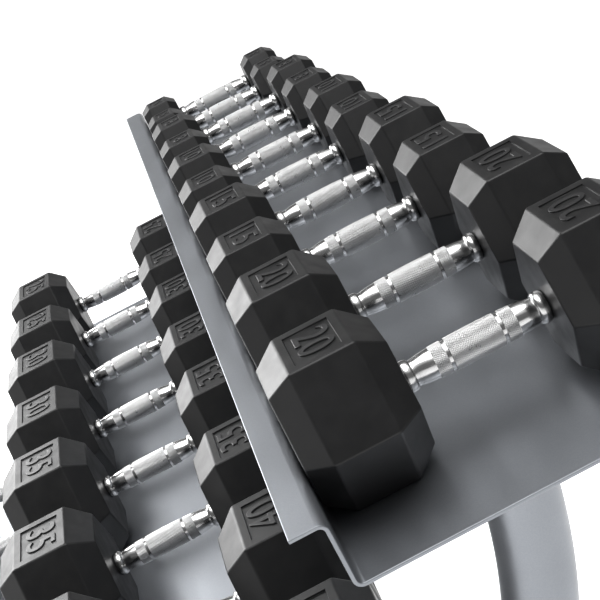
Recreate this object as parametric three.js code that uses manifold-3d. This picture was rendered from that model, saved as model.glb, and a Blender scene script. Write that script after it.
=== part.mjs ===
// A three-tier dumbbell rack, with a row of rubber hex dumbbells on every tray.
// Millimetres, +Z up. X runs along the rack, the user stands at -Y, and the floor is z = 0.

import * as THREE from "three";
import { mergeVertices } from "three/addons/utils/BufferGeometryUtils.js";
import Module from "manifold-3d";

const wasm = await Module();
wasm.setup();

const degrees = THREE.MathUtils.degToRad;

// Clearance between neighbouring parts.
const gap = 0.3;

// Trays: folded steel sheet, tilted down towards the user.
const tray = {
  length: 1425,
  depth: 288,
  sheet: 3,
  bendRadius: 6,
  lipHeight: 54,
  flangeWidth: 24,
  rearDrop: 24,
  tilt: degrees(16),
};

// The front bottom edge of each tray is one step back and one step up from the tray below.
const bottomTier = { y: -382, z: 215 };
const tierStep = { back: 257, up: 317 };
const tierNames = ["bottom", "middle", "top"];

// End frames: a bent round upright on a floor tube.
const frameX = tray.length / 2 - 70;
const upright = {
  radius: 28.5,
  wall: 3,
  bend: 500,
  crownY: 277,
  crownZ: 773,
  topAngle: degrees(16),
  legAngle: degrees(35),
};
const foot = { front: -398, rear: 332, width: 60, height: 40, wall: 3 };
const cap = { plate: 4, plug: 20 };
const pad = { height: 12, radius: 22, inset: 40 };

// Square tubes: an arm under each end of the lower trays, a strut under the lowest arms, bars across the back.
const arm = { width: 40, height: 32, wall: 3, front: 34, rear: { bottom: 468, middle: 386 } };
// The top tray lies on a flat plate on the end of each upright instead.
const topPlate = { width: 70, thickness: 5, front: 40, rear: 240 };
const strut = { size: 40, wall: 3, y: -316 };
const crossBar = { height: 50, depth: 30, wall: 3, heights: { upper: 480, lower: 160 } };
const bolt = { shank: 4, head: 8, headHeight: 5, upTray: 210 };

// Dumbbells: a hexagonal head at each end of a steel handle. Head lengths are shares of the flat-to-flat size.
const grip = { length: 117.5, radius: 12.5, collar: 15, collarLength: 8 };
const head = { thickness: 0.76, outerChamfer: 0.17, innerChamfer: 0.173, outerFace: 0.78, innerFace: 0.74 };
const lipClearance = 1.5;

// Flat-to-flat size of the head for each weight in pounds.
const headSize = {
  5: 73, 8: 86, 10: 94, 15: 107, 20: 119.5,
  25: 130, 30: 134, 35: 138.5, 40: 143,
  45: 148, 50: 153, 55: 158,
};

// Each tray holds pairs of dumbbells from left to right, with a gap in each pair and between pairs.
const rows = {
  top: { weights: [5, 8, 10, 15, 20], start: 47, pairGap: 16, nextGap: 36 },
  middle: { weights: [25, 30, 35, 40], start: 5, pairGap: 17, nextGap: 17 },
  bottom: { weights: [45, 50, 55], start: 12, pairGap: 18, nextGap: 105 },
};

const silverPaint = { color: 0x8d9198, roughness: 0.38, metalness: 0.8 };
const zincPlate = { color: 0xb4b6b8, roughness: 0.35, metalness: 1.0 };
const blackRubber = { color: 0x2b2b2c, roughness: 0.55, metalness: 0.0 };
const blackPlastic = { color: 0x1c1c1d, roughness: 0.6, metalness: 0.0 };

const rack = new THREE.Group();
rack.name = "dumbbell_rack";

function addPart(name, geometry, finish) {
  const mesh = new THREE.Mesh(geometry, new THREE.MeshStandardMaterial(finish));
  mesh.name = name;
  rack.add(mesh);
}

// --- Solids that can be joined and cut ---

function solid(geometry) {
  const plain = geometry.clone();
  plain.deleteAttribute("normal");
  plain.deleteAttribute("uv");
  const merged = mergeVertices(plain, 1e-4);
  return new wasm.Manifold(new wasm.Mesh({
    numProp: 3,
    vertProperties: new Float32Array(merged.attributes.position.array),
    triVerts: new Uint32Array(merged.index.array),
  }));
}

function geometryOf(body) {
  const mesh = body.getMesh();
  const geometry = new THREE.BufferGeometry();
  geometry.setAttribute("position", new THREE.BufferAttribute(mesh.vertProperties, 3));
  geometry.setIndex(new THREE.BufferAttribute(mesh.triVerts, 1));
  return geometry;
}

function block(width, depth, height, x, y, z) {
  const geometry = new THREE.BoxGeometry(width, depth, height);
  geometry.translate(x, y, z);
  return geometry;
}

// A round body turned about Z from [radius, height] points.
function turned(profile, segments) {
  const points = profile.map(([radius, height]) => new THREE.Vector2(radius, height));
  const geometry = new THREE.LatheGeometry(points, segments);
  geometry.rotateX(Math.PI / 2);
  return geometry;
}

// Tray coordinates to rack coordinates: y runs up the slope from the lip, z is square to the tray floor.
function placeOnTier(geometry, tier) {
  const index = tierNames.indexOf(tier);
  geometry.rotateX(tray.tilt);
  geometry.translate(0, bottomTier.y + index * tierStep.back, bottomTier.z + index * tierStep.up);
  return geometry;
}

// --- Trays ---

// The middle of the folded sheet, from the edge of the flange, down the lip and along the floor.
function sheetLine() {
  const half = tray.sheet / 2;
  const r = tray.bendRadius;
  const bends = [
    { y: half - r, z: tray.lipHeight - half - r, from: 90, turn: -1 },
    { y: half + r, z: r - half, from: 180, turn: 1 },
    { y: tray.depth - half - r, z: -half - r, from: 90, turn: -1 },
  ];
  const line = [new THREE.Vector2(-tray.flangeWidth, tray.lipHeight - half)];
  for (const bend of bends) {
    for (let step = 0; step <= 4; step += 1) {
      const angle = degrees(bend.from + bend.turn * step * 22.5);
      line.push(new THREE.Vector2(bend.y + r * Math.cos(angle), bend.z + r * Math.sin(angle)));
    }
  }
  line.push(new THREE.Vector2(tray.depth - half, -tray.rearDrop));
  return line;
}

// The outline of the sheet: its middle line, pushed out by half the thickness to both sides.
function sheetOutline() {
  const line = sheetLine();
  const upper = [];
  const lower = [];
  line.forEach((point, i) => {
    const along = line[Math.min(i + 1, line.length - 1)].clone().sub(line[Math.max(i - 1, 0)]).normalize();
    const side = new THREE.Vector2(-along.y, along.x).multiplyScalar(tray.sheet / 2);
    upper.push(point.clone().add(side));
    lower.unshift(point.clone().sub(side));
  });
  return new THREE.Shape([...upper, ...lower]);
}

// All three trays are the same sheet. Its rear drop is notched for the arms of the lower two.
function trayGeometry() {
  const sheet = new THREE.ExtrudeGeometry(sheetOutline(), { depth: tray.length, bevelEnabled: false });
  sheet.translate(0, 0, -tray.length / 2);
  sheet.applyMatrix4(new THREE.Matrix4().makeBasis(
    new THREE.Vector3(0, 1, 0), new THREE.Vector3(0, 0, 1), new THREE.Vector3(1, 0, 0)));
  let body = solid(sheet);
  for (const side of [-1, 1]) {
    body = body.subtract(solid(block(arm.width + 4, 40, 60, side * frameX, tray.depth, -tray.sheet - gap - 30)));
  }
  return geometryOf(body);
}

// --- End frames ---

// The centre line of an upright: a wide bend that crowns behind the trays, then a straight leg.
function uprightCentreLine(x) {
  const arcSteps = 10;
  const points = [];
  for (let step = 0; step <= arcSteps; step += 1) {
    const angle = upright.topAngle - (upright.topAngle + upright.legAngle) * (step / arcSteps);
    const y = upright.crownY - upright.bend * (1 - Math.cos(angle));
    points.push(new THREE.Vector3(x, y, upright.crownZ + upright.bend * Math.sin(angle)));
  }
  const legTop = points[arcSteps];
  points.push(new THREE.Vector3(x, legTop.y - legTop.z * Math.tan(upright.legAngle), 0));
  return points;
}

// The Y of the upright's centre line at a height.
function uprightY(z) {
  const arcEnd = upright.crownZ - upright.bend * Math.sin(upright.legAngle);
  const height = Math.max(z, arcEnd) - upright.crownZ;
  const onArc = upright.crownY - upright.bend + Math.sqrt(upright.bend ** 2 - height ** 2);
  return onArc - Math.max(arcEnd - z, 0) * Math.tan(upright.legAngle);
}

// A round bar along a line of points in a plane of constant X.
function sweptBar(points, radius) {
  const sides = 20;
  const vertices = [];
  points.forEach((point, i) => {
    const along = points[Math.min(i + 1, points.length - 1)].clone().sub(points[Math.max(i - 1, 0)]).normalize();
    for (let k = 0; k < sides; k += 1) {
      const angle = (k / sides) * Math.PI * 2;
      const across = radius * Math.cos(angle);
      const out = radius * Math.sin(angle);
      vertices.push(new THREE.Vector3(point.x + across, point.y + out * along.z, point.z - out * along.y));
    }
  });
  const faces = [];
  const lastRing = (points.length - 1) * sides;
  for (let k = 0; k < sides; k += 1) {
    const next = (k + 1) % sides;
    for (let ring = 0; ring < lastRing; ring += sides) {
      faces.push(ring + k, ring + next, ring + sides + k);
      faces.push(ring + next, ring + sides + next, ring + sides + k);
    }
    faces.push(vertices.length, next, k);
    faces.push(vertices.length + 1, lastRing + k, lastRing + next);
  }
  const geometry = new THREE.BufferGeometry().setFromPoints([...vertices, points[0], points[points.length - 1]]);
  geometry.setIndex(faces);
  return geometry;
}

// A body that is cut away around an upright, so that what is welded to it keeps its clearance.
function uprightClearance(side) {
  return solid(sweptBar(uprightCentreLine(side * frameX), upright.radius + gap));
}

// What lies under each end of a tray: an arm, or the upright's top plate.
function supportHeight(tier) {
  return tier === "top" ? topPlate.thickness : arm.height;
}

// A body that is cut away above the underside of the arms or plates on one tier.
function aboveSupports(tier) {
  const underside = -tray.sheet - supportHeight(tier) - 2 * gap;
  return solid(placeOnTier(block(2 * tray.length, 900, 300, 0, 300, underside + 150), tier));
}

// A straight square tube between two opposite corners, open at the ends along its own axis.
function squareTube(width, depth, height, wall, axis, [x, y, z]) {
  const past = (size, name) => (name === axis ? size + 2 : size - 2 * wall);
  const outside = solid(block(width, depth, height, x, y, z));
  const inside = solid(block(past(width, "x"), past(depth, "y"), past(height, "z"), x, y, z));
  return outside.subtract(inside);
}

function uprightGeometry(side) {
  const line = uprightCentreLine(side * frameX);
  const footTop = pad.height + foot.height + gap;
  let body = solid(sweptBar(line, upright.radius))
    .subtract(solid(sweptBar(line, upright.radius - upright.wall)))
    .subtract(aboveSupports("top"))
    .subtract(solid(block(200, 1200, 200, side * frameX, 0, footTop - 100)));
  for (const height of Object.values(crossBar.heights)) {
    const hole = new THREE.CylinderGeometry(bolt.shank + gap, bolt.shank + gap, 4 * upright.radius, 12);
    hole.rotateZ(Math.PI / 2);
    hole.translate(side * frameX, uprightY(height), height);
    body = body.subtract(solid(hole));
  }
  return geometryOf(body);
}

function footGeometry(side) {
  const length = foot.rear - foot.front;
  const centre = [side * frameX, (foot.front + foot.rear) / 2, pad.height + foot.height / 2];
  return geometryOf(squareTube(foot.width, length, foot.height, foot.wall, "y", centre));
}

// A plastic cap: a plate over the end of the foot and a plug inside it.
function footCapGeometry(side, end) {
  const outward = end === "front" ? -1 : 1;
  const mouth = foot[end] + outward * gap;
  const z = pad.height + foot.height / 2;
  const inside = 2 * foot.wall + 2 * gap;
  const plate = block(foot.width, cap.plate, foot.height, side * frameX, mouth + outward * cap.plate / 2, z);
  const plugMiddle = mouth - outward * (cap.plug / 2 - 1);
  const plug = block(foot.width - inside, cap.plug, foot.height - inside, side * frameX, plugMiddle, z);
  return geometryOf(solid(plate).add(solid(plug)));
}

function padGeometry(side, end) {
  const top = pad.height - gap;
  const geometry = turned([[0, 0], [pad.radius, 0], [pad.radius, 5], [12, 9], [12, top], [0, top]], 16);
  const inward = end === "front" ? 1 : -1;
  geometry.translate(side * frameX, foot[end] + inward * pad.inset, 0);
  return geometry;
}

// An arm is closed at the front, and its rear end is shaped to the upright that it is welded to.
function armGeometry(side, tier) {
  const length = arm.rear[tier] - arm.front;
  const x = side * frameX;
  const z = -tray.sheet - gap - arm.height / 2;
  const hollow = block(arm.width - 2 * arm.wall, length, arm.height - 2 * arm.wall,
    x, arm.front + arm.wall + length / 2, z);
  const hole = new THREE.CylinderGeometry(bolt.shank + gap, bolt.shank + gap, 2 * arm.height, 12);
  hole.rotateX(Math.PI / 2);
  hole.translate(x, bolt.upTray, z);
  const body = solid(placeOnTier(block(arm.width, length, arm.height, x, arm.front + length / 2, z), tier))
    .subtract(solid(placeOnTier(hollow, tier)))
    .subtract(solid(placeOnTier(hole, tier)))
    .subtract(uprightClearance(side));
  return geometryOf(body);
}

// The plate that closes the end of an upright, with a hole for the top tray's bolt.
function topPlateGeometry(side) {
  const length = topPlate.rear - topPlate.front;
  const z = -tray.sheet - gap - topPlate.thickness / 2;
  const flat = block(topPlate.width, length, topPlate.thickness, side * frameX, topPlate.front + length / 2, z);
  const hole = new THREE.CylinderGeometry(bolt.shank + gap, bolt.shank + gap, 2 * arm.height, 12);
  hole.rotateX(Math.PI / 2);
  hole.translate(side * frameX, bolt.upTray, z);
  return placeOnTier(geometryOf(solid(flat).subtract(solid(hole))), "top");
}

function strutGeometry(side) {
  const bottom = pad.height + foot.height + gap;
  const height = 2 * strut.size + bottomTier.z - bottom;
  const centre = [side * frameX, strut.y, bottom + height / 2];
  const tube = squareTube(strut.size, strut.size, height, strut.wall, "z", centre);
  return geometryOf(tube.subtract(aboveSupports("bottom")));
}

function crossBarGeometry(height) {
  const centre = [0, uprightY(height), height];
  const bar = squareTube(2 * frameX, crossBar.depth, crossBar.height, crossBar.wall, "x", centre);
  return geometryOf(bar.subtract(uprightClearance(-1)).subtract(uprightClearance(1)));
}

// A button-head bolt with the underside of its head at z = 0.
function boltGeometry(shankLength) {
  const { shank, head: headRadius, headHeight } = bolt;
  return turned([[0, -shankLength], [shank, -shankLength], [shank, 0],
    [headRadius, 0], [0.7 * headRadius, headHeight], [0, headHeight]], 12);
}

function trayBoltGeometry(side, tier) {
  const geometry = boltGeometry(supportHeight(tier) + gap);
  geometry.rotateX(Math.PI);
  geometry.translate(side * frameX, bolt.upTray, -tray.sheet - 2 * gap - supportHeight(tier));
  return placeOnTier(geometry, tier);
}

function crossBarBoltGeometry(side, height) {
  const geometry = boltGeometry(2 * upright.radius + 12);
  geometry.rotateY(side * Math.PI / 2);
  geometry.translate(side * (frameX + upright.radius + gap), uprightY(height), height);
  return geometry;
}

// --- Dumbbells ---

// Six segments turn a profile into a hexagon with a flat side up and a flat side down.
function headGeometry(size, outerEnd, direction) {
  const corner = size / Math.sqrt(3);
  const profile = [
    [0, 0],
    [corner * head.outerFace, 0],
    [corner, size * head.outerChamfer],
    [corner, size * (head.thickness - head.innerChamfer)],
    [corner * head.innerFace, size * head.thickness],
    [0, size * head.thickness],
  ];
  if (direction < 0) profile.reverse();
  const points = profile.map(([radius, along]) => new THREE.Vector2(radius, outerEnd + direction * along));
  return new THREE.LatheGeometry(points, 6, Math.PI / 6);
}

// The handle runs into both heads.
function handleGeometry(start) {
  const end = start + grip.length;
  const shoulder = grip.collarLength + 6;
  const profile = [
    [0, start - 5], [grip.collar, start - 5], [grip.collar, start + grip.collarLength],
    [grip.radius, start + shoulder], [grip.radius, end - shoulder],
    [grip.collar, end - grip.collarLength], [grip.collar, end + 5], [0, end + 5],
  ];
  return new THREE.LatheGeometry(profile.map(([radius, y]) => new THREE.Vector2(radius, y)), 12);
}

// The dumbbell rests on the tray, with the front head just behind the lip.
function dumbbellGeometry(weight, tier, x) {
  const size = headSize[weight];
  const front = tray.sheet + lipClearance;
  const inner = front + size * head.thickness;
  const rear = inner + grip.length + size * head.thickness;
  const body = solid(headGeometry(size, front, 1))
    .add(solid(handleGeometry(inner)))
    .add(solid(headGeometry(size, rear, -1)));
  const geometry = geometryOf(body);
  geometry.translate(x, 0, size / 2 + gap);
  return placeOnTier(geometry, tier);
}

function addRow(tier) {
  const row = rows[tier];
  let edge = -tray.length / 2 + row.start;
  for (const weight of row.weights) {
    const width = 2 * headSize[weight] / Math.sqrt(3);
    for (const place of ["left", "right"]) {
      const name = `dumbbell_${weight}lb_${place}`;
      addPart(name, dumbbellGeometry(weight, tier, edge + width / 2), blackRubber);
      edge += width + (place === "left" ? row.pairGap : row.nextGap);
    }
  }
}

// --- The rack ---

for (const tier of tierNames) {
  addPart(`${tier}_tray`, placeOnTier(trayGeometry(), tier), silverPaint);
}

for (const [sideName, side] of [["left", -1], ["right", 1]]) {
  addPart(`${sideName}_upright`, uprightGeometry(side), silverPaint);
  addPart(`${sideName}_foot`, footGeometry(side), silverPaint);
  addPart(`${sideName}_front_strut`, strutGeometry(side), silverPaint);
  for (const end of ["front", "rear"]) {
    addPart(`${sideName}_foot_cap_${end}`, footCapGeometry(side, end), blackPlastic);
    addPart(`${sideName}_floor_pad_${end}`, padGeometry(side, end), blackRubber);
  }
  addPart(`${sideName}_top_plate`, topPlateGeometry(side), silverPaint);
  for (const tier of Object.keys(arm.rear)) {
    addPart(`${sideName}_${tier}_arm`, armGeometry(side, tier), silverPaint);
  }
  for (const tier of tierNames) {
    addPart(`${sideName}_${tier}_tray_bolt`, trayBoltGeometry(side, tier), zincPlate);
  }
  for (const [level, height] of Object.entries(crossBar.heights)) {
    addPart(`${sideName}_${level}_bar_bolt`, crossBarBoltGeometry(side, height), zincPlate);
  }
}

for (const [level, height] of Object.entries(crossBar.heights)) {
  addPart(`${level}_cross_bar`, crossBarGeometry(height), silverPaint);
}

for (const tier of tierNames) addRow(tier);

export default rack;
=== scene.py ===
"""Looks for a three-tier dumbbell rack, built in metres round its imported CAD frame.

X runs along the rack, the user stands at -Y and +Z is up. Every piece is modelled in millimetres in a frame
of its own and scaled to metres as it is placed. In a tier's frame, y runs up the slope of the tray from the
outside of its lip and z is square to the tray floor.
"""

import math

import bmesh
import bpy
from mathutils import Matrix, Vector


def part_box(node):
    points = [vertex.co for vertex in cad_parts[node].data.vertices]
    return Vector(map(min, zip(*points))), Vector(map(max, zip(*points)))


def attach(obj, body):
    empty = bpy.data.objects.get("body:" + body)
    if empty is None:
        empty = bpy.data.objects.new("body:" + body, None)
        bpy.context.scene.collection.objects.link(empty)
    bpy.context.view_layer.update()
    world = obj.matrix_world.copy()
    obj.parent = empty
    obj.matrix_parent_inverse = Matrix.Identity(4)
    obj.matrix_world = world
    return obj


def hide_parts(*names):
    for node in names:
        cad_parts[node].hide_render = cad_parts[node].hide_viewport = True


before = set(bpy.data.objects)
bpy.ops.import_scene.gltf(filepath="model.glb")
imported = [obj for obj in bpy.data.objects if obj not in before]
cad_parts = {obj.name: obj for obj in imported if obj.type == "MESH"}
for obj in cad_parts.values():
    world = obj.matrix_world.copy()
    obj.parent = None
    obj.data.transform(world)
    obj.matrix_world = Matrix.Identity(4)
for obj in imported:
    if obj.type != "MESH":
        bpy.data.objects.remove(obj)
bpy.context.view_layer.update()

MM = 0.001
GAP = 0.3

# The trays, as in the CAD model.
TILT = math.radians(16)
TIERS = {"bottom": (-382, 215), "middle": (-125, 532), "top": (132, 849)}
TRAY = {"length": 1425, "depth": 288, "sheet": 3, "bend": 6, "lip": 54, "flange": 24, "drop": 24}

# The end frames: one bent round upright on each foot, with square tubes welded to it.
SIDES = {"left": -1, "right": 1}
FRAME_X = TRAY["length"] / 2 - 70
UPRIGHT = {"radius": 28.5, "bend": 500, "crown_y": 277, "crown_z": 773, "leg": math.radians(35)}
FOOT = {"front": -398, "rear": 332, "width": 60, "height": 40, "bottom": 12}
ARM = {"width": 40, "height": 32, "front": 34}
ARM_REAR = {"bottom": 468, "middle": 386}
TOP_PLATE = {"width": 70, "thickness": 5, "front": 40, "rear": 240}
STRUT = {"size": 40, "y": -316}
CROSS_BAR = {"height": 50, "depth": 30}
BAR_HEIGHTS = {"upper": 480, "lower": 160}
BOLT = {"radius": 8, "height": 5, "socket": 2.7, "up_tray": 210}
PAD_INSET = 40

# The dumbbells. Head lengths are shares of the size across its flats.
GRIP_LENGTH = 117.5
HEAD = {
    "thickness": 0.76,
    "outer_chamfer": 0.17,
    "inner_chamfer": 0.173,
    "outer_face": 0.78,
    "inner_face": 0.74,
}
HEAD_BEHIND_LIP = 4.5


# --- Building meshes ---------------------------------------------------------------------------------------


def new_mesh(name, vertices, faces):
    mesh = bpy.data.meshes.new(name)
    mesh.from_pydata([tuple(v) for v in vertices], [], faces)
    mesh.validate()
    return mesh


def tidy(bm):
    """Merges doubled vertices and turns every face outwards."""
    bmesh.ops.remove_doubles(bm, verts=bm.verts, dist=0.001)
    bmesh.ops.recalc_face_normals(bm, faces=bm.faces)


def bmesh_of(vertices, faces):
    bm = bmesh.new()
    corners = [bm.verts.new(v) for v in vertices]
    for face in faces:
        bm.faces.new([corners[i] for i in face])
    tidy(bm)
    return bm


def round_edges(bm, radius, sharper_than=50, segments=3):
    """Rounds each edge where the surface turns by more than that many degrees."""
    edges = [e for e in bm.edges if e.is_manifold and e.calc_face_angle() > math.radians(sharper_than)]
    bmesh.ops.bevel(bm, geom=edges, offset=radius, segments=segments, profile=0.5, affect="EDGES",
                    clamp_overlap=True)


def finish_mesh(bm, name, flat_over=None):
    """Faces over an area in mm2 stay flat. The rest are shaded smooth, which keeps rounded edges clean."""
    for face in bm.faces:
        face.smooth = flat_over is None or face.calc_area() < flat_over
    mesh = bpy.data.meshes.new(name)
    bm.to_mesh(mesh)
    bm.free()
    return mesh


def add_piece(name, mesh, material, body, place=None, nodes=()):
    """Puts a mesh made in millimetres into the scene, riding on a CAD body."""
    piece = bpy.data.objects.new(name, mesh)
    bpy.context.scene.collection.objects.link(piece)
    if not mesh.materials:
        mesh.materials.append(material)
    piece.matrix_world = Matrix.Scale(MM, 4) @ (place or Matrix.Identity(4))
    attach(piece, body)
    if nodes:
        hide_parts(*nodes)
    return piece


def tier_place(tier):
    y, z = TIERS[tier]
    return Matrix.Translation((0, y, z)) @ Matrix.Rotation(TILT, 4, "X")


def loft(rings, closed_ends=True):
    """Joins rings with equal numbers of points into one skin."""
    count = len(rings[0])
    vertices = [point for ring in rings for point in ring]
    faces = []
    for r in range(len(rings) - 1):
        for k in range(count):
            a, b = r * count + k, r * count + (k + 1) % count
            faces.append((a, b, b + count, a + count))
    if closed_ends:
        faces.append(tuple(range(count)))
        faces.append(tuple(range(len(vertices) - count, len(vertices))))
    return vertices, faces


def rounded_rectangle(width, height, radius=5, steps=5):
    """The outline of a square tube, as points round its middle."""
    points = []
    for corner_x, corner_y, start in ((1, 1, 0), (-1, 1, 90), (-1, -1, 180), (1, -1, 270)):
        for step in range(steps + 1):
            angle = math.radians(start + 90 * step / steps)
            points.append((corner_x * (width / 2 - radius) + radius * math.cos(angle),
                           corner_y * (height / 2 - radius) + radius * math.sin(angle)))
    return points


def weld_bead(loop, across, radius=2.6):
    """A rippled fillet of weld along a closed loop of points. Across is the loop's rough axis."""
    rings = []
    for i, point in enumerate(loop):
        along = (loop[(i + 1) % len(loop)] - loop[i - 1]).normalized()
        up = (across - across.dot(along) * along).normalized()
        side = along.cross(up)
        ripple = radius * (1.12 if i % 2 else 0.92)
        ring = [math.cos(a * math.pi / 4) * ripple * up + math.sin(a * math.pi / 4) * ripple * side
                for a in range(8)]
        rings.append([point + offset for offset in ring])
    rings.append(rings[0])
    return loft(rings, closed_ends=False)


def evenly(loop, spacing):
    """The same closed loop with points a set distance apart."""
    ends = loop[1:] + loop[:1]
    points = []
    carried = 0.0
    for a, b in zip(loop, ends):
        length = (b - a).length
        while carried < length:
            points.append(a.lerp(b, carried / length))
            carried += spacing
        carried -= length
    return points


def joined(*parts):
    """Several (vertices, faces) pairs as one."""
    vertices, faces = [], []
    for part_vertices, part_faces in parts:
        start = len(vertices)
        vertices.extend(part_vertices)
        faces.extend(tuple(i + start for i in face) for face in part_faces)
    return vertices, faces


def smooth_by_angle(mesh, degrees=35):
    mesh.shade_smooth()
    mesh.set_sharp_from_angle(angle=math.radians(degrees))
    return mesh


# --- Materials ---------------------------------------------------------------------------------------------


class Finish:
    """A Principled material with short helpers for its procedural nodes."""

    def __init__(self, name, color, roughness, metallic=0.0, specular=0.5):
        self.material = bpy.data.materials.new(name)
        self.material.use_nodes = True
        self.nodes = self.material.node_tree.nodes
        self.links = self.material.node_tree.links
        self.shader = self.nodes["Principled BSDF"]
        self.shader.inputs["Base Color"].default_value = (*color, 1)
        self.shader.inputs["Roughness"].default_value = roughness
        self.shader.inputs["Metallic"].default_value = metallic
        self.shader.inputs["Specular IOR Level"].default_value = specular

    def place(self, stretch=(1, 1, 1)):
        """Object coordinates, shifted by a random amount on each object."""
        coordinates = self.nodes.new("ShaderNodeTexCoord")
        info = self.nodes.new("ShaderNodeObjectInfo")
        shift = self.nodes.new("ShaderNodeVectorMath")
        shift.operation = "MULTIPLY_ADD"
        self.links.new(info.outputs["Random"], shift.inputs[0])
        shift.inputs[1].default_value = (731, 389, 557)
        self.links.new(coordinates.outputs["Object"], shift.inputs[2])
        mapping = self.nodes.new("ShaderNodeMapping")
        mapping.inputs["Scale"].default_value = stretch
        self.links.new(shift.outputs[0], mapping.inputs["Vector"])
        return mapping.outputs["Vector"]

    def noise(self, size, detail=4.0, stretch=(1, 1, 1), roughness=0.55):
        """Noise with features of about that many millimetres."""
        node = self.nodes.new("ShaderNodeTexNoise")
        node.inputs["Scale"].default_value = 1 / size
        node.inputs["Detail"].default_value = detail
        node.inputs["Roughness"].default_value = roughness
        self.links.new(self.place(stretch), node.inputs["Vector"])
        return node.outputs["Fac"]

    def cells(self, size):
        node = self.nodes.new("ShaderNodeTexVoronoi")
        node.inputs["Scale"].default_value = 1 / size
        self.links.new(self.place(), node.inputs["Vector"])
        return node.outputs["Color"]

    def ranged(self, value, low, high, source=(0.3, 0.7)):
        node = self.nodes.new("ShaderNodeMapRange")
        node.inputs["From Min"].default_value, node.inputs["From Max"].default_value = source
        node.inputs["To Min"].default_value = low
        node.inputs["To Max"].default_value = high
        self.links.new(value, node.inputs["Value"])
        return node.outputs["Result"]

    def times(self, a, b):
        node = self.nodes.new("ShaderNodeMath")
        node.operation = "MULTIPLY"
        self.links.new(a, node.inputs[0])
        self.links.new(b, node.inputs[1])
        return node.outputs["Value"]

    def edges(self, low=0.52, high=0.62):
        """1 on sharp convex edges and 0 elsewhere."""
        geometry = self.nodes.new("ShaderNodeNewGeometry")
        return self.ranged(geometry.outputs["Pointiness"], 0.0, 1.0, (low, high))

    def facing_up(self):
        """1 where the surface faces up and 0 where it is upright or faces down."""
        geometry = self.nodes.new("ShaderNodeNewGeometry")
        split = self.nodes.new("ShaderNodeSeparateXYZ")
        self.links.new(geometry.outputs["Normal"], split.inputs["Vector"])
        return self.ranged(split.outputs["Z"], 0.0, 1.0, (0.2, 0.95))

    def tint(self, factor, other):
        """Mixes another colour into the base colour by a factor."""
        mix = self.nodes.new("ShaderNodeMix")
        mix.data_type = "RGBA"
        base = self.shader.inputs["Base Color"]
        if base.is_linked:
            self.links.new(base.links[0].from_socket, mix.inputs["A"])
        else:
            mix.inputs["A"].default_value = base.default_value
        mix.inputs["B"].default_value = (*other, 1)
        self.links.new(factor, mix.inputs["Factor"])
        self.links.new(mix.outputs["Result"], base)

    def rough(self, value, low, high):
        self.links.new(self.ranged(value, low, high), self.shader.inputs["Roughness"])

    def bump(self, height, distance, strength=1.0):
        """Raises the surface by a height that peaks at that many millimetres."""
        node = self.nodes.new("ShaderNodeBump")
        node.inputs["Strength"].default_value = strength
        node.inputs["Distance"].default_value = distance * MM
        self.links.new(height, node.inputs["Height"])
        normal = self.shader.inputs["Normal"]
        if normal.is_linked:
            self.links.new(normal.links[0].from_socket, node.inputs["Normal"])
        self.links.new(node.outputs["Normal"], normal)


def rubber_coat():
    """Satin black rubber: a faint moulded grain, greyer on worn edges and where a little dust lies."""
    finish = Finish("rubber_coat", (0.011, 0.011, 0.0115), 0.38, specular=0.32)
    patches = finish.noise(38, detail=3)
    finish.tint(finish.ranged(patches, 0.0, 0.6), (0.016, 0.016, 0.0165))
    finish.tint(finish.times(finish.edges(), finish.ranged(finish.noise(9), 0.1, 0.75)), (0.07, 0.07, 0.071))
    dust = finish.times(finish.facing_up(), finish.ranged(finish.noise(14, detail=8), 0.0, 0.10, (0.45, 0.8)))
    finish.tint(dust, (0.13, 0.128, 0.12))
    finish.rough(finish.noise(22, detail=5), 0.32, 0.44)
    finish.bump(finish.noise(0.55, detail=2), 0.05, 0.4)
    return finish.material


def moulded_numerals():
    """The same rubber painted a little greyer than the heads, as a painted highlight for the light the raised
    figures catch, with random patchy tone.
    """
    # The lighter base colour is painted highlight on the figures, not a different rubber.
    finish = Finish("rubber_numerals", (0.018, 0.018, 0.019), 0.36, specular=0.4)
    finish.tint(finish.ranged(finish.noise(7), 0.0, 0.7), (0.035, 0.035, 0.035))
    finish.rough(finish.noise(12, detail=5), 0.30, 0.42)
    finish.bump(finish.noise(0.55, detail=2), 0.04, 0.4)
    return finish.material


def chrome():
    """Chrome plate on the smooth parts of a handle, with faint smears."""
    finish = Finish("chrome_plate", (0.72, 0.72, 0.72), 0.16, metallic=1.0)
    finish.tint(finish.ranged(finish.noise(16, detail=6), 0.0, 0.35), (0.55, 0.55, 0.54))
    finish.rough(finish.noise(11, detail=7), 0.11, 0.26)
    finish.bump(finish.noise(1.6, detail=3), 0.012, 0.4)
    return finish.material


def knurled_chrome():
    """Chrome over knurling: the points scatter the light and a little grime stays between them."""
    finish = Finish("chrome_knurl", (0.74, 0.74, 0.74), 0.30, metallic=1.0)
    finish.tint(finish.ranged(finish.noise(9, detail=3), 0.0, 0.4), (0.52, 0.52, 0.515))
    finish.rough(finish.noise(7, detail=6), 0.26, 0.40)
    finish.bump(finish.noise(1.2, detail=1), 0.02, 0.3)
    return finish.material


def silver_coat():
    """Silver-grey metallic powder coat: fine flakes, orange peel and faint wipe marks along the sheet."""
    finish = Finish("silver_coat", (0.28, 0.295, 0.32), 0.36, metallic=0.80)
    flakes = finish.cells(0.7)
    finish.tint(finish.ranged(flakes, 0.0, 0.14, (0.0, 1.0)), (0.52, 0.535, 0.55))
    finish.tint(finish.ranged(finish.noise(120, detail=3), 0.0, 0.25), (0.22, 0.235, 0.26))
    worn = finish.times(finish.edges(0.53, 0.66), finish.ranged(finish.noise(5), 0.0, 0.5))
    finish.tint(worn, (0.50, 0.51, 0.52))
    finish.rough(finish.noise(30, detail=4, stretch=(0.25, 1, 1)), 0.32, 0.42)
    finish.bump(finish.noise(7, detail=1), 0.02, 0.2)
    return finish.material


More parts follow.
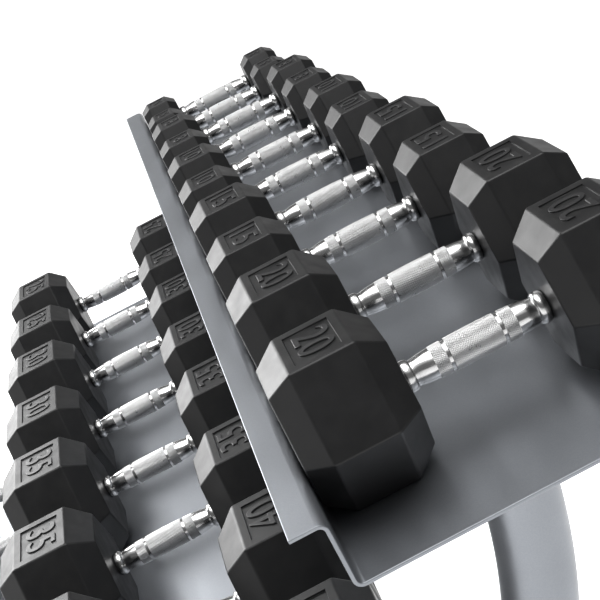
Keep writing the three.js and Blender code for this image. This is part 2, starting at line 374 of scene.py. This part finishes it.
def zinc_plate():
    finish = Finish("zinc_plate", (0.60, 0.60, 0.58), 0.3, metallic=1.0)
    finish.tint(finish.ranged(finish.noise(2.5), 0.0, 0.5), (0.44, 0.44, 0.43))
    finish.rough(finish.noise(1.5, detail=5), 0.22, 0.42)
    finish.bump(finish.noise(0.6), 0.02, 0.5)
    return finish.material


def black_plastic():
    finish = Finish("black_plastic", (0.02, 0.02, 0.02), 0.5)
    finish.tint(finish.times(finish.edges(), finish.ranged(finish.noise(3), 0.2, 0.8)), (0.09, 0.09, 0.09))
    finish.rough(finish.noise(9, detail=5), 0.42, 0.6)
    finish.bump(finish.cells(0.9), 0.06, 0.5)
    return finish.material


def pad_rubber():
    finish = Finish("pad_rubber", (0.017, 0.017, 0.017), 0.75)
    finish.tint(finish.ranged(finish.noise(6, detail=6), 0.0, 0.5), (0.05, 0.049, 0.046))
    finish.rough(finish.noise(5), 0.65, 0.85)
    finish.bump(finish.noise(0.8), 0.08, 0.6)
    return finish.material


RUBBER = rubber_coat()
NUMERALS_PAINTED_HIGHLIGHT = moulded_numerals()
CHROME = chrome()
KNURL = knurled_chrome()
SILVER = silver_coat()
ZINC = zinc_plate()
PLASTIC = black_plastic()
PAD_RUBBER = pad_rubber()


# --- Trays -------------------------------------------------------------------------------------------------


def tray_line():
    """The middle of the folded sheet, from the flange's edge to the bottom of the rear drop."""
    half = TRAY["sheet"] / 2
    r = TRAY["bend"]
    bends = (
        (half - r, TRAY["lip"] - half - r, 90, -1),
        (half + r, r - half, 180, 1),
        (TRAY["depth"] - half - r, -half - r, 90, -1),
    )
    line = [Vector((-TRAY["flange"], TRAY["lip"] - half))]
    for y, z, start, turn in bends:
        for step in range(9):
            angle = math.radians(start + turn * step * 90 / 8)
            line.append(Vector((y + r * math.cos(angle), z + r * math.sin(angle))))
    line.append(Vector((TRAY["depth"] - half, -TRAY["drop"])))
    return line


def tray_mesh():
    """The folded sheet in cells along and across it. Its rear drop is notched for the lower trays' arms."""
    line = tray_line()
    half = TRAY["sheet"] / 2
    end = TRAY["length"] / 2
    notch = ARM["width"] / 2 + 2
    stations = [-end, -FRAME_X - notch, -FRAME_X + notch, FRAME_X - notch, FRAME_X + notch, end]
    notch_start = len(line) - 6
    width = len(line)
    vertices = []
    for x in stations:
        for side in (1, -1):
            for i, point in enumerate(line):
                along = (line[min(i + 1, width - 1)] - line[max(i - 1, 0)]).normalized()
                y, z = point + side * half * Vector((-along.y, along.x))
                vertices.append((x, y, z))

    def corner(station, layer, i):
        return (station * 2 + layer) * width + i

    cells = {(a, i) for a in range(5) for i in range(width - 1) if not (a in (1, 3) and i >= notch_start)}
    faces = []
    for a, i in cells:
        for layer in (0, 1):
            faces.append((corner(a, layer, i), corner(a + 1, layer, i),
                          corner(a + 1, layer, i + 1), corner(a, layer, i + 1)))
        for neighbour, (p, q) in {
            (a - 1, i): ((a, i), (a, i + 1)),
            (a + 1, i): ((a + 1, i), (a + 1, i + 1)),
            (a, i - 1): ((a, i), (a + 1, i)),
            (a, i + 1): ((a, i + 1), (a + 1, i + 1)),
        }.items():
            if neighbour not in cells:
                faces.append((corner(p[0], 0, p[1]), corner(q[0], 0, q[1]),
                              corner(q[0], 1, q[1]), corner(p[0], 1, p[1])))
    bm = bmesh_of(vertices, faces)
    round_edges(bm, 0.7, sharper_than=60, segments=3)
    return finish_mesh(bm, "tray", flat_over=600)


def build_trays():
    mesh = tray_mesh()
    for tier in TIERS:
        add_piece(f"{tier}_tray_sheet", mesh, SILVER, "rack", tier_place(tier),
                  [f"{tier}_tray"])


# --- End frames --------------------------------------------------------------------------------------------


def from_upright(y, z):
    """How far a point in an upright's plane is from the upright's centre line."""
    arc_y = UPRIGHT["crown_y"] - UPRIGHT["bend"]
    arc_end = UPRIGHT["crown_z"] - UPRIGHT["bend"] * math.sin(UPRIGHT["leg"])
    if z >= arc_end:
        return abs(math.hypot(y - arc_y, z - UPRIGHT["crown_z"]) - UPRIGHT["bend"])
    leg_y = arc_y + UPRIGHT["bend"] * math.cos(UPRIGHT["leg"]) - (arc_end - z) * math.tan(UPRIGHT["leg"])
    return abs(y - leg_y) * math.cos(UPRIGHT["leg"])


def upright_y(z):
    """The Y of an upright's centre line at a height, on the crown's side."""
    arc_y = UPRIGHT["crown_y"] - UPRIGHT["bend"]
    arc_end = UPRIGHT["crown_z"] - UPRIGHT["bend"] * math.sin(UPRIGHT["leg"])
    height = max(z, arc_end) - UPRIGHT["crown_z"]
    on_arc = arc_y + math.sqrt(UPRIGHT["bend"] ** 2 - height**2)
    return on_arc - max(arc_end - z, 0) * math.tan(UPRIGHT["leg"])


def support_height(tier):
    """What lies under each end of a tray: a plate on top of the upright, or an arm."""
    return TOP_PLATE["thickness"] if tier == "top" else ARM["height"]


def under_support(tier):
    """A point on the plane under a tier's arms or plates, and the plane's normal."""
    place = tier_place(tier)
    depth = -TRAY["sheet"] - support_height(tier) - 2 * GAP
    return place @ Vector((0, 0, depth)), (place.to_3x3() @ Vector((0, 0, 1))).normalized()


def slide_to_plane(point, direction, plane_point, normal):
    return point + direction * ((plane_point - point).dot(normal) / direction.dot(normal))


def upright_rings(radius, x):
    """Rings down the bent tube, with its two ends cut to the plate above it and to the foot below it."""
    steps = 48
    around = 64
    top = math.radians(13.5)
    arc_y = UPRIGHT["crown_y"] - UPRIGHT["bend"]
    stations = []
    for step in range(steps + 1):
        angle = top - (top + UPRIGHT["leg"]) * step / steps
        stations.append((Vector((x, arc_y + UPRIGHT["bend"] * math.cos(angle),
                                 UPRIGHT["crown_z"] + UPRIGHT["bend"] * math.sin(angle))), angle))
    foot_top = FOOT["bottom"] + FOOT["height"] + GAP
    last, angle = stations[-1]
    stations.append((last + Vector((0, -math.tan(UPRIGHT["leg"]), -1)) * (last.z - foot_top), angle))
    rings = []
    for centre, angle in stations:
        outward = Vector((0, math.cos(angle), math.sin(angle)))
        rings.append([centre + radius * (math.cos(t * math.tau / around) * Vector((1, 0, 0))
                                         + math.sin(t * math.tau / around) * outward) for t in range(around)])
    plane_point, normal = under_support("top")
    rings[0] = [slide_to_plane(p, q - p, plane_point, normal) for p, q in zip(rings[0], rings[3])]
    rings[1:3] = [[p.lerp(q, share) for p, q in zip(rings[0], rings[3])] for share in (0.33, 0.67)]
    floor = Vector((0, 0, foot_top))
    rings[-1] = [slide_to_plane(p, q - p, floor, Vector((0, 0, 1))) for p, q in zip(rings[-1], rings[-2])]
    return rings


def upright_mesh(side):
    rings = upright_rings(UPRIGHT["radius"], side * FRAME_X)
    top_bead = weld_bead(evenly(rings[0], 3.2), Vector((0, 0, 1)))
    foot_bead = weld_bead(evenly(rings[-1], 3.2), Vector((0, 0, 1)))
    bm = bmesh_of(*joined(loft(rings), top_bead, foot_bead))
    return smooth_by_angle(finish_mesh(bm, f"upright_{side}"), 50)


def first_touch(ray_point, reach, offset):
    """Where a point that moves by ray_point(t), from t = 0 to reach, first meets the upright's surface."""
    low, high = 0.0, reach
    for _ in range(24):
        middle = (low + high) / 2
        point = ray_point(middle)
        inside = math.hypot(from_upright(point.y, point.z), offset) < UPRIGHT["radius"] + GAP
        low, high = (low, middle) if inside else (middle, high)
    return ray_point(low)


def arm_mesh(side, tier):
    """A square tube under the end of a tray. Its rear end follows the upright and is welded to it."""
    place = tier_place(tier)
    middle = -TRAY["sheet"] - GAP - ARM["height"] / 2
    outline = rounded_rectangle(ARM["width"], ARM["height"])
    x = side * FRAME_X
    front = [place @ Vector((x + u, ARM["front"], middle + w)) for u, w in outline]
    reach = ARM_REAR[tier] - ARM["front"] + 8
    rear = [first_touch(lambda t, u=u, w=w: place @ Vector((x + u, ARM["front"] + t, middle + w)), reach, u)
            for u, w in outline]
    bead = weld_bead(evenly(rear, 3.2), (rear[0] - front[0]).normalized())
    bm = bmesh_of(*joined(loft([front, rear]), bead))
    return smooth_by_angle(finish_mesh(bm, f"arm_{tier}_{side}"), 50)


def top_plate_mesh():
    """A flat plate with rounded corners and eased edges, its upper face at z = 0."""
    outline = rounded_rectangle(TOP_PLATE["width"], TOP_PLATE["rear"] - TOP_PLATE["front"], 8)
    middle = (TOP_PLATE["front"] + TOP_PLATE["rear"]) / 2
    rings = [[Vector((u, middle + v, z)) for u, v in outline] for z in (-TOP_PLATE["thickness"], 0)]
    bm = bmesh_of(*loft(rings))
    round_edges(bm, 0.6, sharper_than=60)
    return smooth_by_angle(finish_mesh(bm, "top_plate"), 35)


def strut_mesh(side):
    """An upright square tube from the foot to the lowest arm, welded at both ends."""
    foot_top = FOOT["bottom"] + FOOT["height"] + GAP
    outline = rounded_rectangle(STRUT["size"], STRUT["size"])
    bottom = [Vector((side * FRAME_X + u, STRUT["y"] + w, foot_top)) for u, w in outline]
    plane_point, normal = under_support("bottom")
    top = [slide_to_plane(p, Vector((0, 0, 1)), plane_point, normal) for p in bottom]
    beads = [weld_bead(evenly(ring, 3.2), Vector((0, 0, 1))) for ring in (bottom, top)]
    bm = bmesh_of(*joined(loft([bottom, top]), *beads))
    return smooth_by_angle(finish_mesh(bm, f"strut_{side}"), 50)


def foot_mesh(side):
    """A rectangular floor tube, open at both ends."""
    middle = FOOT["bottom"] + FOOT["height"] / 2
    rings = []
    for inset, ends in ((0, (FOOT["front"], FOOT["rear"])), (3, (FOOT["rear"], FOOT["front"]))):
        outline = rounded_rectangle(FOOT["width"] - 2 * inset, FOOT["height"] - 2 * inset, 5 - inset / 1.5)
        rings += [[Vector((side * FRAME_X + u, y, middle + w)) for u, w in outline] for y in ends]
    rings.append(rings[0])
    bm = bmesh_of(*loft(rings, closed_ends=False))
    return smooth_by_angle(finish_mesh(bm, f"foot_{side}"), 50)


def cross_bar_mesh(height):
    """A rectangular tube between the uprights. Both ends follow the round of the tubes that it meets."""
    outline = rounded_rectangle(CROSS_BAR["depth"], CROSS_BAR["height"])
    y = upright_y(height)
    ends = []
    for side in (-1, 1):
        ring = []
        for v, w in outline:
            depth = math.sqrt((UPRIGHT["radius"] + GAP) ** 2 - from_upright(y + v, height + w) ** 2)
            ring.append(Vector((side * (FRAME_X - depth), y + v, height + w)))
        ends.append(ring)
    bm = bmesh_of(*loft(ends))
    return smooth_by_angle(finish_mesh(bm, f"cross_bar_{height}"), 50)


def turned(profile, around=48):
    """A closed body turned about Z from (radius, height) points. It starts and ends on the axis."""
    rings = [[Vector((r * math.cos(k * math.tau / around), r * math.sin(k * math.tau / around), z))
              for k in range(around)] for r, z in profile]
    return loft(rings)


def rounded(profile, corner):
    """The same profile with each inner corner cut by a short arc."""
    points = [Vector(profile[0])]
    for before, here, after in zip(profile, profile[1:], profile[2:]):
        a, b, c = Vector(before), Vector(here), Vector(after)
        size = min(corner, (a - b).length / 2.1, (c - b).length / 2.1)
        start = b + (a - b).normalized() * size
        end = b + (c - b).normalized() * size
        for step in range(5):
            t = step / 4
            points.append(start.lerp(b, t).lerp(b.lerp(end, t), t))
    points.append(Vector(profile[-1]))
    return points


def cap_mesh():
    """A ribbed plug with a domed plate, facing -Y."""
    outline = rounded_rectangle(FOOT["width"], FOOT["height"])
    inner = rounded_rectangle(FOOT["width"] - 7, FOOT["height"] - 7, 3)
    rib = rounded_rectangle(FOOT["width"] - 6.6, FOOT["height"] - 6.6, 3)
    dome = ((0.86, -4.0), (0.95, -3.7), (0.985, -2.9), (1.0, -1.8), (1.0, 0))
    levels = [(outline, share, y) for share, y in dome]
    for start in (0, 5, 10, 15):
        levels += [(inner, 1.0, start), (inner, 1.0, start + 3)]
        levels += [(rib, 1.0, start + 3.2), (rib, 1.0, start + 4.6)]
    levels.append((inner, 1.0, 19))
    rings = [[Vector((u * share, y, w * share)) for u, w in shape] for shape, share, y in levels]
    bm = bmesh_of(*loft(rings))
    return smooth_by_angle(finish_mesh(bm, "foot_cap"), 40)


def pad_mesh():
    """A turned rubber foot with a ribbed tread ring and a neck that goes into the tube."""
    tread = [(0, 0.9), (13, 0.9), (14, 0), (21, 0), (22, 1.2)]
    neck = [(22, 4.6), (12, 8.8), (12, 11.7), (0, 11.7)]
    profile = [(max(r, 0.01), z) for r, z in rounded(tread + neck, 0.9)]
    bm = bmesh_of(*turned(profile))
    return smooth_by_angle(finish_mesh(bm, "floor_pad"), 35)


def bolt_mesh(shank_length):
    """A button head with a hexagonal socket, its underside at z = 0 and its shank below."""
    around = 48
    radius, height, socket = BOLT["radius"], BOLT["height"], BOLT["socket"]

    def hexagon(share):
        ring = []
        for k in range(around):
            angle = k * math.tau / around
            off_flat = (angle + math.pi / 6) % (math.pi / 3) - math.pi / 6
            ring.append((share * socket / math.cos(off_flat), angle))
        return ring

    def circle(r):
        return [(r, k * math.tau / around) for k in range(around)]

    shank = ((0.01, -shank_length), (3.2, -shank_length), (4, -shank_length + 0.8), (4, 0))
    levels = [(circle(r), z) for r, z in shank]
    levels += [(circle(radius - 0.4), 0), (circle(radius), 0.5)]
    for step in range(1, 7):
        angle = math.radians(12 * step)
        rise = math.sin(angle) / math.sin(math.radians(72))
        levels.append((circle(radius * math.cos(angle) ** 0.9), 0.5 + (height - 0.5) * rise))
    levels.append((circle(socket * 1.22), height))
    levels += [(hexagon(share), height - depth) for share, depth in ((1.0, 0.35), (0.97, 3), (0.01, 3.6))]
    rings = [[Vector((r * math.cos(a), r * math.sin(a), z)) for r, a in level] for level, z in levels]
    bm = bmesh_of(*loft(rings))
    return smooth_by_angle(finish_mesh(bm, f"bolt_{shank_length:.0f}"), 32)


def build_end_frames():
    cap = cap_mesh()
    pad = pad_mesh()
    plate = top_plate_mesh()
    tray_bolts = {tier: bolt_mesh(support_height(tier) + GAP) for tier in TIERS}
    bar_bolt = bolt_mesh(2 * UPRIGHT["radius"] + 12)
    foot_middle = FOOT["bottom"] + FOOT["height"] / 2
    for name, side in SIDES.items():
        x = side * FRAME_X
        add_piece(f"{name}_bent_tube", upright_mesh(side), SILVER, "rack",
                  nodes=[f"{name}_upright"])
        add_piece(f"{name}_floor_tube", foot_mesh(side), SILVER, "rack",
                  nodes=[f"{name}_foot"])
        add_piece(f"{name}_strut_tube", strut_mesh(side), SILVER, "rack",
                  nodes=[f"{name}_front_strut"])
        for end, outward in (("front", -1), ("rear", 1)):
            turn = Matrix.Rotation(0 if end == "front" else math.pi, 4, "Z")
            mouth = Matrix.Translation((x, FOOT[end] + outward * GAP, foot_middle))
            add_piece(f"{name}_{end}_cap", cap, PLASTIC, "rack", mouth @ turn,
                      [f"{name}_foot_cap_{end}"])
            under = Matrix.Translation((x, FOOT[end] - outward * PAD_INSET, 0))
            add_piece(f"{name}_{end}_pad", pad, PAD_RUBBER, "rack", under,
                      [f"{name}_floor_pad_{end}"])
        plate_at = Matrix.Translation((x, 0, -TRAY["sheet"] - GAP))
        add_piece(f"{name}_top_flat", plate, SILVER, "rack", tier_place("top") @ plate_at,
                  [f"{name}_top_plate"])
        for tier in ARM_REAR:
            add_piece(f"{name}_{tier}_arm_tube", arm_mesh(side, tier), SILVER, "rack",
                      nodes=[f"{name}_{tier}_arm"])
        for tier in TIERS:
            underside = -TRAY["sheet"] - 2 * GAP - support_height(tier)
            head_at = Matrix.Translation((x, BOLT["up_tray"], underside))
            add_piece(f"{name}_{tier}_tray_screw", tray_bolts[tier], ZINC, "rack",
                      tier_place(tier) @ head_at @ Matrix.Rotation(math.pi, 4, "X"),
                      [f"{name}_{tier}_tray_bolt"])
        for level, height in BAR_HEIGHTS.items():
            outside = side * (FRAME_X + UPRIGHT["radius"] + GAP)
            head_at = Matrix.Translation((outside, upright_y(height), height))
            add_piece(f"{name}_{level}_bar_screw", bar_bolt, ZINC, "rack",
                      head_at @ Matrix.Rotation(side * math.pi / 2, 4, "Y"), [f"{name}_{level}_bar_bolt"])
    for level, height in BAR_HEIGHTS.items():
        add_piece(f"{level}_bar_tube", cross_bar_mesh(height), SILVER, "rack",
                  nodes=[f"{level}_cross_bar"])


# --- Dumbbells ---------------------------------------------------------------------------------------------


def largest_face(bm, direction):
    faces = [f for f in bm.faces if f.normal.dot(direction) > 0.999]
    return max(faces, key=lambda f: f.calc_area())


def sink_panel(bm, face, border, depth, narrowing=1.0):
    """Sinks a panel into a face, inside a flat border. Narrowing scales it across the head."""
    bmesh.ops.inset_individual(bm, faces=[face], thickness=border)
    for vertex in face.verts:
        vertex.co.x *= narrowing
    bmesh.ops.inset_individual(bm, faces=[face], thickness=0.35, depth=-depth)
    rim = [e for e in face.edges]
    bmesh.ops.bevel(bm, geom=rim, offset=0.3, segments=2, profile=0.5, affect="EDGES")


def head_bmesh(size):
    """A hexagonal head, outer face at y = 0, inner face towards +Y. Its top and end hold sunk label panels."""
    corner = size / math.sqrt(3)
    thickness = size * HEAD["thickness"]
    levels = [
        (HEAD["outer_face"], 0),
        (1, size * HEAD["outer_chamfer"]),
        (1, thickness - size * HEAD["inner_chamfer"]),
        (HEAD["inner_face"], thickness),
    ]
    turns = [k * math.pi / 3 for k in range(6)]
    rings = [[Vector((share * corner * math.cos(a), y, share * corner * math.sin(a))) for a in turns]
             for share, y in levels]
    bm = bmesh_of(*loft(rings))
    bmesh.ops.bevel(bm, geom=list(bm.edges), offset=0.011 * size, segments=4, profile=0.5, affect="EDGES")
    bmesh.ops.recalc_face_normals(bm, faces=bm.faces)
    sink_panel(bm, largest_face(bm, Vector((0, 0, 1))), 0.065 * size, 0.012 * size, 0.93)
    sink_panel(bm, largest_face(bm, Vector((0, -1, 0))), 0.07 * size, 0.009 * size)
    return bm


def heads_mesh(size):
    """Both heads of a dumbbell. The rear one is the front one turned half way round."""
    one = finish_mesh(head_bmesh(size), "head")
    length = 2 * size * HEAD["thickness"] + GRIP_LENGTH
    both = bmesh.new()
    both.from_mesh(one)
    one.transform(Matrix.Translation((0, length, 0)) @ Matrix.Rotation(math.pi, 4, "Z"))
    both.from_mesh(one)
    bpy.data.meshes.remove(one)
    return finish_mesh(both, f"heads_{size:.0f}", flat_over=(0.05 * size) ** 2)


def numeral_mesh(text, height, pair_width, relief):
    """Raised figures in the XY plane, facing +Z. Two figures together are stretched to the pair width."""
    curve = bpy.data.curves.new("figures", "FONT")
    curve.body = text
    curve.size = height * 1.38
    curve.align_x = "CENTER"
    curve.align_y = "CENTER"
    curve.space_character = 1.06
    curve.extrude = relief * 0.5
    curve.bevel_depth = relief * 0.45
    curve.bevel_resolution = 2
    curve.offset = -0.004 * height
    holder = bpy.data.objects.new("figures", curve)
    bpy.context.scene.collection.objects.link(holder)
    evaluated = holder.evaluated_get(bpy.context.evaluated_depsgraph_get())
    mesh = bpy.data.meshes.new_from_object(evaluated)
    bpy.data.objects.remove(holder)
    bpy.data.curves.remove(curve)
    across = [v.co.x for v in mesh.vertices]
    middle = (max(across) + min(across)) / 2
    stretch = pair_width / (max(across) - min(across)) if len(text) == 2 else 1.15
    mesh.transform(Matrix.Diagonal((stretch, 1, 1, 1)) @ Matrix.Translation((-middle, 0, 0)))
    return mesh


def numerals_mesh(weight, size):
    """The weight on the top flat and the outer face of both heads."""
    thickness = size * HEAD["thickness"]
    length = 2 * thickness + GRIP_LENGTH
    flat_middle = size * (HEAD["thickness"] + HEAD["outer_chamfer"] - HEAD["inner_chamfer"]) / 2
    relief = 0.0095 * size
    on_top = Matrix.Translation((0, flat_middle, size / 2 - 0.011 * size))
    on_end = Matrix.Translation((0, 0.009 * size, 0)) @ Matrix.Rotation(math.pi / 2, 4, "X")
    turn = Matrix.Translation((0, length, 0)) @ Matrix.Rotation(math.pi, 4, "Z")
    figures = bmesh.new()
    for height_share, width_share, place in ((0.241, 0.318, on_top), (0.30, 0.38, on_end)):
        one = numeral_mesh(str(weight), height_share * size, width_share * size, relief)
        one.transform(place)
        figures.from_mesh(one)
        one.transform(turn)
        figures.from_mesh(one)
        bpy.data.meshes.remove(one)
    tidy_mesh = finish_mesh(figures, f"numerals_{weight}")
    tidy_mesh.materials.clear()
    return smooth_by_angle(tidy_mesh, 30)


def handle_rows():
    """The handle from one head to the other, as (y, radius, knurled) rows a millimetre or so apart."""
    middle = GRIP_LENGTH / 2
    bead, cone_end, band_end, groove_end = 9, 25.75, 35.75, 38.75
    rows = [(-4, 10.2, False), (-0.2, 10.2, False)]
    for step in range(1, 10):
        angle = math.radians(18 * step)
        rows.append((bead / 2 - bead / 2 * math.cos(angle), 10.3 + 2.4 * math.sin(angle) ** 0.7, False))
    rows += [(bead + 0.4, 10.3, False), (bead + 1.6, 10.35, False)]
    for step in range(1, 9):
        share = step / 8
        y = bead + 1.6 + (cone_end - bead - 1.6) * share
        rows.append((y, 10.35 + 1.75 * math.sin(share * math.pi / 2), False))
    for start, end in ((cone_end, band_end), (groove_end, middle)):
        count = round(end - start)
        for step in range(count + 1):
            y = start + (end - start) * step / count
            swell = 12.85 - 0.75 * ((middle - y) / (middle - cone_end)) ** 2
            rows.append((y + (0.01 if step == 0 else 0), swell, True))
        if end == band_end:
            rows += [(band_end + 0.3, 11.75, False), (groove_end - 0.3, 11.95, False)]
    mirrored = [(GRIP_LENGTH - y, r, knurled) for y, r, knurled in reversed(rows[:-1])]
    return rows + mirrored


def handle_mesh():
    """A chromed steel handle: a bead against each head, smooth tapers and three bands of diamond knurling."""
    around = 80
    relief = 0.28
    rows = handle_rows()
    vertices = []
    for j, (y, radius, knurled) in enumerate(rows):
        for k in range(around):
            raised = relief * (1 if (j + k) % 2 == 0 else -0.4) if knurled else 0
            angle = k * math.tau / around
            vertices.append(((radius + raised) * math.cos(angle), y, (radius + raised) * math.sin(angle)))
    faces = []
    for j in range(len(rows) - 1):
        knurled = rows[j][2] and rows[j + 1][2]
        for k in range(around):
            a, b = j * around + k, j * around + (k + 1) % around
            c, d = b + around, a + around
            if not knurled:
                faces.append((a, b, c, d))
            elif (j + k) % 2 == 0:
                faces += [(a, b, d), (b, c, d)]
            else:
                faces += [(a, b, c), (a, c, d)]
    faces.append(tuple(range(around)))
    faces.append(tuple(range(len(vertices) - around, len(vertices))))
    bm = bmesh_of(vertices, faces)
    for face in bm.faces:
        face.material_index = int(len(face.verts) == 3)
    mesh = finish_mesh(bm, "handle")
    mesh.materials.append(CHROME)
    mesh.materials.append(KNURL)
    return smooth_by_angle(mesh, 28)


def build_dumbbells():
    handle = handle_mesh()
    shapes = {}
    for node in sorted(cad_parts):
        if not node.startswith("dumbbell_"):
            continue
        weight = int(node.split("_")[1][:-2])
        low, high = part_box(node)
        size = (high.x - low.x) / MM * math.sqrt(3) / 2
        tier = "top" if weight <= 20 else "middle" if weight <= 40 else "bottom"
        if weight not in shapes:
            shapes[weight] = heads_mesh(size), numerals_mesh(weight, size)
        heads, numerals = shapes[weight]
        x = (low.x + high.x) / 2 / MM
        place = tier_place(tier) @ Matrix.Translation((x, HEAD_BEHIND_LIP, size / 2 + GAP))
        grip = place @ Matrix.Translation((0, size * HEAD["thickness"], 0))
        name = node.replace("dumbbell_", "")
        add_piece(f"heads_{name}", heads, RUBBER, node, place, [node])
        add_piece(f"numerals_{name}", numerals, NUMERALS_PAINTED_HIGHLIGHT, node, place)
        add_piece(f"handle_{name}", handle, CHROME, node, grip)


# --- Stage, light and camera -------------------------------------------------------------------------------


def build_floor():
    """A plain pale floor that reaches far past the camera's view."""
    mesh = new_mesh("floor", [(-14, -14, 0), (14, -14, 0), (14, 14, 0), (-14, 14, 0)], [(0, 1, 2, 3)])
    floor = bpy.data.objects.new("floor", mesh)
    bpy.context.scene.collection.objects.link(floor)
    finish = Finish("pale_floor", (0.86, 0.86, 0.86), 0.6)
    finish.shader.inputs["Emission Color"].default_value = (1, 1, 1, 1)
    finish.shader.inputs["Emission Strength"].default_value = 0.75
    mesh.materials.append(finish.material)


def build_sky():
    """A white studio, bright at the horizon and overhead and darker between, so satin faces keep their shape."""
    world = bpy.data.worlds.new("studio")
    bpy.context.scene.world = world
    world.use_nodes = True
    nodes, links = world.node_tree.nodes, world.node_tree.links
    background = nodes["Background"]
    coordinates = nodes.new("ShaderNodeTexCoord")
    split = nodes.new("ShaderNodeSeparateXYZ")
    ramp = nodes.new("ShaderNodeValToRGB")
    links.new(coordinates.outputs["Generated"], split.inputs["Vector"])
    links.new(split.outputs["Z"], ramp.inputs["Fac"])
    links.new(ramp.outputs["Color"], background.inputs["Color"])
    stops = ((0.0, 1.0), (0.08, 1.0), (0.18, 0.14), (0.70, 0.16), (0.88, 0.9), (1.0, 1.1))
    elements = ramp.color_ramp.elements
    while len(elements) < len(stops):
        elements.new(0.5)
    for element, (position, level) in zip(elements, stops):
        element.position = position
        element.color = (level, level, level, 1)
    background.inputs["Strength"].default_value = 1.0
    seen = nodes.new("ShaderNodeBackground")
    seen.inputs["Color"].default_value = (1, 1, 1, 1)
    path = nodes.new("ShaderNodeLightPath")
    mix = nodes.new("ShaderNodeMixShader")
    links.new(path.outputs["Is Camera Ray"], mix.inputs["Fac"])
    links.new(background.outputs["Background"], mix.inputs[1])
    links.new(seen.outputs["Background"], mix.inputs[2])
    links.new(mix.outputs["Shader"], nodes["World Output"].inputs["Surface"])


def add_softbox(name, position, target, size, power):
    light = bpy.data.lights.new(name, "AREA")
    light.shape = "RECTANGLE"
    light.size, light.size_y = size
    light.energy = power
    holder = bpy.data.objects.new(name, light)
    bpy.context.scene.collection.objects.link(holder)
    holder.location = position
    holder.rotation_euler = (Vector(target) - Vector(position)).to_track_quat("-Z", "Y").to_euler()


def build_lights():
    add_softbox("overhead", (0.3, -0.3, 3.4), (0, 0, 0.8), (2.6, 2.0), 55)
    add_softbox("front_left", (-2.4, -2.0, 1.65), (0, 0, 0.8), (2.4, 2.6), 135)


def build_camera():
    """Just past the right end, above the top tray, looking down along the rack with a slight roll."""
    camera = bpy.data.objects.new("camera", bpy.data.cameras.new("camera"))
    bpy.context.scene.collection.objects.link(camera)
    place = Vector((1.4443, 0.0255, 1.3257))
    target = Vector((0.0510, 0.2204, 0.8054))
    roll = math.radians(9.66)
    forward = (target - place).normalized()
    level = forward.cross(Vector((0, 0, 1))).normalized()
    upward = level.cross(forward)
    right = level * math.cos(roll) - upward * math.sin(roll)
    up = upward * math.cos(roll) + level * math.sin(roll)
    camera.matrix_world = Matrix.Translation(place) @ Matrix((right, up, -forward)).transposed().to_4x4()
    camera.data.lens = 79.2
    camera.data.sensor_width = 36
    camera.data.clip_start = 0.05
    camera.data.clip_end = 60
    bpy.context.scene.camera = camera
    bpy.context.scene.view_settings.view_transform = "Standard"


build_trays()
build_end_frames()
build_dumbbells()
build_floor()
build_sky()
build_lights()
build_camera()
